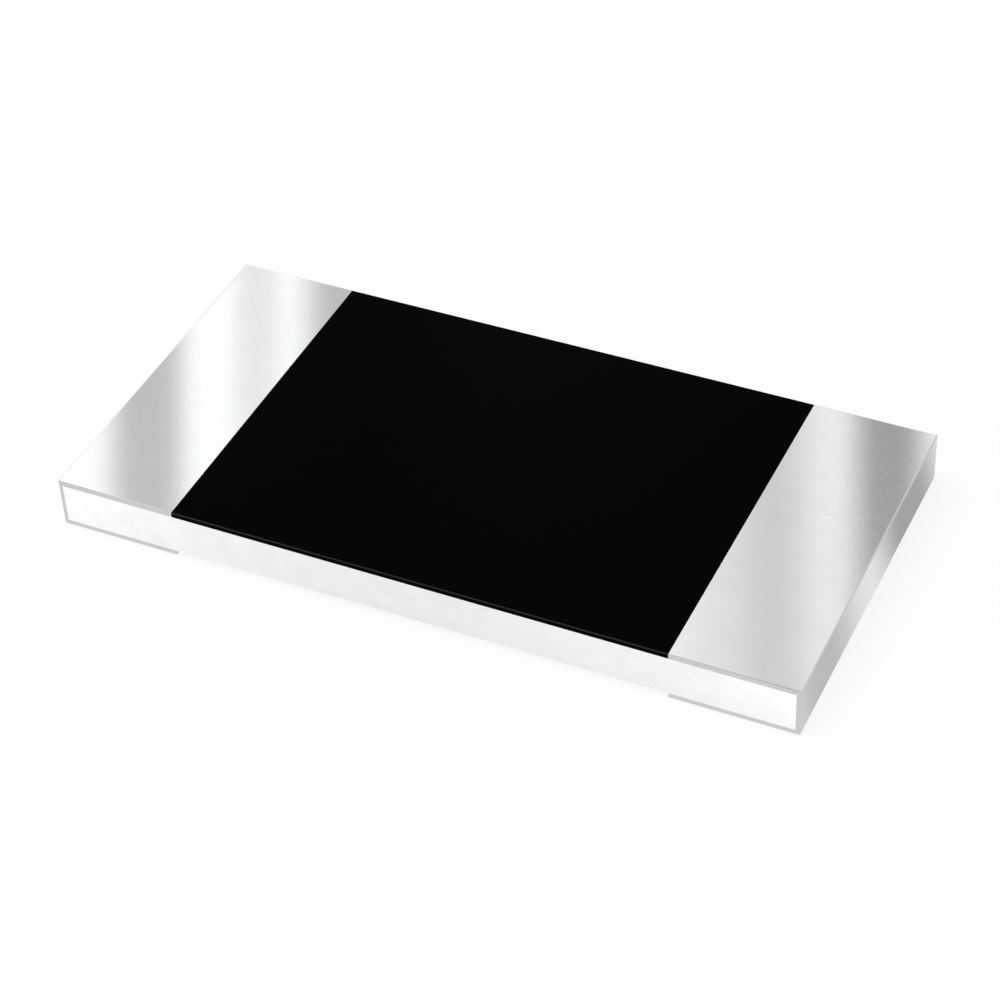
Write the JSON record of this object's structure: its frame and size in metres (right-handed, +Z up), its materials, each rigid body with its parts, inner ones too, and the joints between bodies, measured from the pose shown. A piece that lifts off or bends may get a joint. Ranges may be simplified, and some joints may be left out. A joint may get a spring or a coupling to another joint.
{
  "type": "smd chip resistor",
  "caption": "Flat rectangular ceramic chip with a black overcoat on top and bright tin terminations wrapped over both ends; a surface-mount resistor to solder to pads.",
  "frame": {"origin": "middle of the chip on the plane of its solder pads", "axes": "+X along the chip from the left to the right termination, +Y across it to the back, +Z up through the overcoat"},
  "size_m": [0.0064, 0.0032, 0.0004],
  "materials": {
    "alumina": "matte",
    "fired_silver": "matte",
    "ruthenium_oxide_film": "matte",
    "fired_glass": "gloss",
    "black_epoxy": "satin",
    "sputtered_nichrome": "satin",
    "plated_nickel": "satin",
    "plated_tin": "satin"
  },
  "bodies": {
    "root": {"ceramic_substrate": "alumina", "bottom_electrode_left": "fired_silver", "bottom_electrode_right": "fired_silver", "top_electrode_left": "fired_silver", "top_electrode_right": "fired_silver", "resistor_film": "ruthenium_oxide_film", "glass_coat": "fired_glass", "overcoat": "black_epoxy", "edge_electrode_left": "sputtered_nichrome", "edge_electrode_right": "sputtered_nichrome", "nickel_barrier_left": "plated_nickel", "nickel_barrier_right": "plated_nickel", "tin_cap_left": "plated_tin", "tin_cap_right": "plated_tin"}
  },
  "joints": []
}
